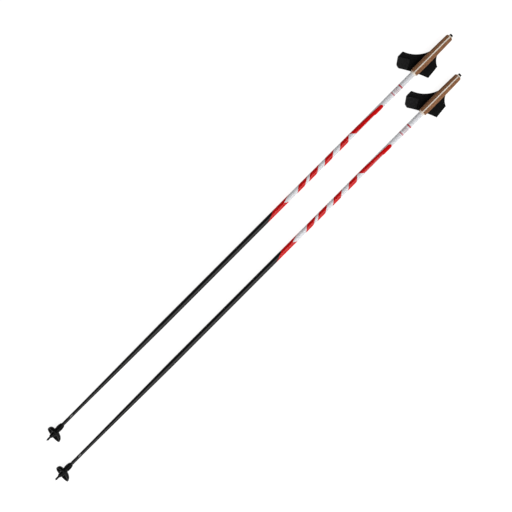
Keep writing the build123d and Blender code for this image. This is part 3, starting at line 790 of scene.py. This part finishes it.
def build_band_cloth(strap, trimmed):
    """The two padded leaves and the rolled fold that joins them."""
    leaf_edge = offset(trimmed, LEAF_INSET, False)
    for i in (0, -1):
        slip = fold_out * (past_fold(leaf_edge[i]) - FOLD_CUT + FOLD_OVERLAP)
        leaf_edge[i] = (leaf_edge[i][0] + slip.x, leaf_edge[i][1] + slip.y)

    def swell(p, d):
        """How far the padding lifts the cloth from its mean height. The lift eases off at the fold."""
        off_fold = min(1.0, max(0.0, (past_fold(p) - 2.0) / 5.0))
        return padding(d) * 0.8 * off_fold + undulation(p) * min(1.0, d / 8) - EDGE_PINCH

    def top(p, d):
        return UPPER_TOP + swell(p, d)

    def bottom(p, d):
        return max(LEAF_LOWEST, LOWER_UNDER - swell(p, d))

    upper = leaf(leaf_edge, LEAF_RINGS, BAND_STEP, lambda p, d: UPPER_UNDER, top)
    lower = leaf(leaf_edge, LEAF_RINGS, BAND_STEP, bottom, lambda p, d: LOWER_TOP)
    centre = fold_base - fold_out * FOLD_CUT + UP * FOLD_MID
    starts, ends = ((Vector((*p, 0)) - fold_base).dot(fold_dir) for p in (trimmed[0], trimmed[-1]))
    starts, ends = starts + LEAF_INSET, ends - LEAF_INSET
    turns = [math.pi * k / ROLL_ARC for k in range(ROLL_ARC + 1)]
    profile = [(ROLL_OUT * math.sin(t), ROLL_OUT * math.cos(t)) for t in turns]
    profile += [(ROLL_IN * math.sin(t), ROLL_IN * math.cos(t)) for t in reversed(turns)]
    roll = []
    for k in range(ROLL_STEPS + 1):
        along = starts + (ends - starts) * k / ROLL_STEPS
        wave = 0.12 * math.sin(k * 0.9) - 0.05
        roll.append((centre + fold_dir * along + fold_out * wave, fold_out, UP))
    band = strap.piece("band_cloth", merged(upper, lower, swept(roll, profile, False)), "shell", "strap")
    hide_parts(f"{strap.side}_hand_band", f"{strap.side}_band_lining")


def build_band(strap):
    """The folded hand band, with the tape round its edges and its stitching."""
    trimmed = open_at_fold(resampled(band_edge, 1.7, smooth=2), FOLD_CUT)
    build_band_cloth(strap, trimmed)

    # the tape goes round the edge of one leaf, over the fold, back round the other leaf and over again
    turned = inward(trimmed, False)
    path = [(Vector((*p, LEAF_MID["upper"])), Vector((*n, 0)), UP) for p, n in zip(trimmed, turned)]
    back = [(Vector((*p, LEAF_MID["lower"])), Vector((*n, 0)), -UP) for p, n in zip(trimmed, turned)]

    def over_fold(i, ways):
        """The tape's path round the fold at one end of the cut outline."""
        steps = []
        for k in ways:
            t = math.pi * k / TAPE_TURNS
            out = fold_out * math.sin(t) + UP * math.cos(t)
            steps.append((Vector((*trimmed[i], FOLD_MID)) + out * ROLL, Vector((*turned[i], 0)), out))
        return steps

    path += over_fold(-1, range(1, TAPE_TURNS)) + back[::-1] + over_fold(0, range(TAPE_TURNS - 1, 0, -1))
    tape = strap.piece("edge_tape", swept(path, TAPE_PROFILE, True), "tape", "strap", lowest=TAPE_LOWEST)
    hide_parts(f"{strap.side}_edge_binding")

    def row(distance, height, up):
        """The run of a seam this far inside the outline."""
        return [(Vector((*p, height)), up) for p in offset(trimmed, distance, False)]

    runs = [row(TAPE_SEAM, UPPER_TOP, UP), row(TAPE_SEAM, LOWER_SEAM_TOP, -UP)]
    runs.append(row(INNER_SEAM, INNER_SEAM_TOP, UP)[3:-3])
    seam = strap.piece("band_stitches", stitches(runs), "thread", "strap", lowest=SEAM_LOWEST)


TAB_INSET, PATCH_INSET = 0.8, 3.6
TAB_RINGS, PATCH_RINGS = (0.3, 0.7, 1.2, 1.8, 2.2, 2.6, 3.2), (0.5, 1.2)
TAB_STEP = 2.6
TAB_SEAM = 2.2
ROOT_SEAMS = (5.0, 7.4)  # a double row across the sewn root, this far from it
ROOT_SEAM_ENDS = (3.6, 29.5)


def build_tab(strap):
    """The closing tab with its sewn edge, and the loop patch that it closes on."""
    outline = resampled(offset(resampled(tab_edge, 1.3, smooth=1), TAB_INSET), 1.3, smooth=2)
    root, root_end = (Vector((*p, 0)) for p in TAB_ROOT)
    along = (root_end - root).normalized()
    out = Vector((-along.y, along.x, 0))

    def curl(p):
        """The free end of the tab rises a little."""
        return 0.9 * (max(0.0, (Vector((*p, 0)) - root).dot(out) - 8) / 30) ** 2

    def under(p, d):
        return TAB_UNDER + 0.15 * math.exp(-d / 0.5) + curl(p)

    def over(p, d):
        return TAB_TOP + rounded(d, 0.38, 0.7) - groove(d, TAB_SEAM, 0.4, 0.20) + curl(p)

    tab = strap.piece("tab_cloth", leaf(outline, TAB_RINGS, TAB_STEP, under, over), "tab", "tab")
    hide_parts(f"{strap.side}_hook_tab")

    ring = offset(outline, TAB_SEAM)
    runs = [[(Vector((*p, over(p, TAB_SEAM) + 0.05)), UP) for p in ring + ring[:1]]]
    for inset in ROOT_SEAMS:
        a, b = (root + along * end + out * inset for end in ROOT_SEAM_ENDS)
        points = [a.lerp(b, k / 8) for k in range(9)]
        runs.append([(Vector((p.x, p.y, over((p.x, p.y), 6.0) + 0.02)), UP) for p in points])
    seam = strap.piece("tab_stitches", stitches(runs), "thread", "tab")

    def pile_top(p, d):
        return PATCH_TOP + rounded(d, 0.38, 0.8)

    outline = resampled(offset(resampled(tab_edge, 1.5, smooth=2), PATCH_INSET), 1.5, smooth=2)
    pad = leaf(outline, PATCH_RINGS, TAB_STEP, lambda p, d: PATCH_UNDER, pile_top)
    patch = strap.piece("loop_pile", pad, "pile", "strap")
    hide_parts(f"{strap.side}_loop_patch")


WEBBING_HALF_WIDTH, WEBBING_HALF_THICKNESS = 4.95, 0.72
WEBBING_FLAT = (79.5, 61.3)  # it lies flat on the band between these
WEBBING_QUARTER = [(0.0, 1), (0.45, 1), (0.86, 0.98), (0.97, 0.72), (1.0, 0.2)]  # shares of the halves
SEWN_BOX = [(63.2, -3.6), (77.2, -3.6), (77.2, 3.6), (63.2, 3.6)]


def build_webbing(strap):
    """The webbing from inside the grip, out through its back and down to where it is sewn on the band."""
    side = strap.side
    hinge = Vector(next(j for j in frame["joints"] if j["name"] == f"{side}_strap_swing")["pos_m"])
    hinge_x, hinge_z = (hinge.x - strap.foot) / MM, hinge.z / MM
    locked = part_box(f"{side}_webbing_anchor")[1]
    far, height = (locked[0] - strap.foot) / MM, locked[2] / MM - 0.75
    corners = [(far, height), (hinge_x, height), (hinge_x - 0.2, hinge_z - 0.1), (hinge_x - 6.0, 5.3)]
    corners += [(x, WEBBING_MID) for x in WEBBING_FLAT]
    line = resampled(corners, 0.9, closed=False, smooth=5)
    path = []
    for i, (x, z) in enumerate(line):
        a, b = line[max(0, i - 1)], line[min(len(line) - 1, i + 1)]
        t = Vector((b[0] - a[0], 0, b[1] - a[1])).normalized()
        path.append((Vector((x, 0, z)), Vector((0, 1, 0)), Vector((t.z, 0, -t.x))))
    mirrored = WEBBING_QUARTER[:0:-1]
    shares = WEBBING_QUARTER + [(u, -w) for u, w in mirrored]
    shares += [(-u, -w) for u, w in WEBBING_QUARTER] + [(-u, w) for u, w in mirrored]
    profile = [(WEBBING_HALF_WIDTH * u, WEBBING_HALF_THICKNESS * w) for u, w in shares]
    web = strap.piece("webbing_cloth", swept(path, profile, False), "webbing")
    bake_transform(web)
    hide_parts(f"{side}_webbing_leader", f"{side}_webbing_anchor")

    # a sewn box with a cross, where the webbing is fixed to the band
    cross = WEBBING_TOP + 0.02
    runs = [[(Vector((*p, WEBBING_TOP)), UP) for p in SEWN_BOX + SEWN_BOX[:1]]]
    runs += [[(Vector((*SEWN_BOX[i], cross)), UP), (Vector((*SEWN_BOX[i + 2], cross)), UP)] for i in range(2)]
    seam = strap.piece("webbing_stitches", stitches(runs, 1.7, 0.5), "thread", "strap")


for side in SIDES:
    strap = Strap(side)
    build_band(strap)
    build_tab(strap)
    build_webbing(strap)

# ---------------------------------------------------------------- floor, lights and camera
FLOOR_HALF, FLOOR_DROP = 40, 0.0002  # in metres, like all of this section
FLOOR_COLOUR, FLOOR_GLOW, WORLD_GLOW = 0.25, 0.90, 0.10
corners = [(-FLOOR_HALF, -FLOOR_HALF, 0), (FLOOR_HALF, -FLOOR_HALF, 0)]
corners += [(FLOOR_HALF, FLOOR_HALF, 0), (-FLOOR_HALF, FLOOR_HALF, 0)]
mesh = bpy.data.meshes.new("floor")
mesh.from_pydata(corners, [], [(0, 1, 2, 3)])
floor = bpy.data.objects.new("floor", mesh)
floor.location.z = -FLOOR_DROP
scene.collection.objects.link(floor)
paper = Graph("pale_floor", 0.9)
paper.set("Base Color", (FLOOR_COLOUR,) * 3)
paper.set("Specular IOR Level", 0.0)
paper.set("Emission Color", (1.0, 1.0, 1.0))
paper.set("Emission Strength", FLOOR_GLOW)
mesh.materials.append(paper.material)

world = bpy.data.worlds.new("studio")
world.use_nodes = True
background = world.node_tree.nodes["Background"]
background.inputs["Color"].default_value = (1, 1, 1, 1)
background.inputs["Strength"].default_value = WORLD_GLOW
scene.world = world


def softbox(name, place, aim, size, radiance):
    """A flat rectangular light with its long side level; its size is (length, height)."""
    light = bpy.data.lights.new(name, "AREA")
    light.shape = "RECTANGLE"
    light.size, light.size_y = size
    light.energy = radiance * math.pi * size[0] * size[1]
    lamp = bpy.data.objects.new(name, light)
    lamp.location = place
    lamp.rotation_euler = (Vector(place) - Vector(aim)).to_track_quat("Z", "Y").to_euler()
    lamp.visible_camera = False
    scene.collection.objects.link(lamp)


BOX_HEIGHT = 2.5
# A row of two softboxes beside the poles, with a gap. Seen from the poles it covers 12 to 65 degrees off the
# zenith.
KEY_Y, KEY_Z, KEY_RADIANCE = -1.56, 1.96, 1.95
for name, low_end, high_end in (("long_softbox", -4.0, 0.68), ("short_softbox", 1.25, 4.0)):
    middle = (low_end + high_end) / 2
    softbox(name, (middle, KEY_Y, KEY_Z), (middle, 0, 0), (high_end - low_end, BOX_HEIGHT), KEY_RADIANCE)
# one at each end of the poles, which fills the tops without a gleam along the shafts
END_Z = 2.2
for name, end, radiance in (("spike_end_softbox", -3.5, 1.9), ("grip_end_softbox", 3.5, 0.6)):
    softbox(name, (end, 0, END_Z), (0, 0, 0), (BOX_HEIGHT, BOX_HEIGHT), radiance)

CAMERA_X, CAMERA_Y = 0.0093, -0.0155
ROLL_ANGLE = math.radians(-45.04)  # the poles rise to the right in the picture
SPAN = 1.4711  # width of the picture at the height of the shafts
SHAFT_HEIGHT = 0.022
camera_data = bpy.data.cameras.new("camera")
camera_data.lens = 135
camera_data.sensor_width = 36
camera_data.clip_end = 100
camera = bpy.data.objects.new("camera", camera_data)
camera.location = (CAMERA_X, CAMERA_Y, SHAFT_HEIGHT + SPAN * camera_data.lens / camera_data.sensor_width)
camera.rotation_euler = (0, 0, ROLL_ANGLE)
scene.collection.objects.link(camera)
scene.camera = camera
scene.view_settings.view_transform = "Standard"
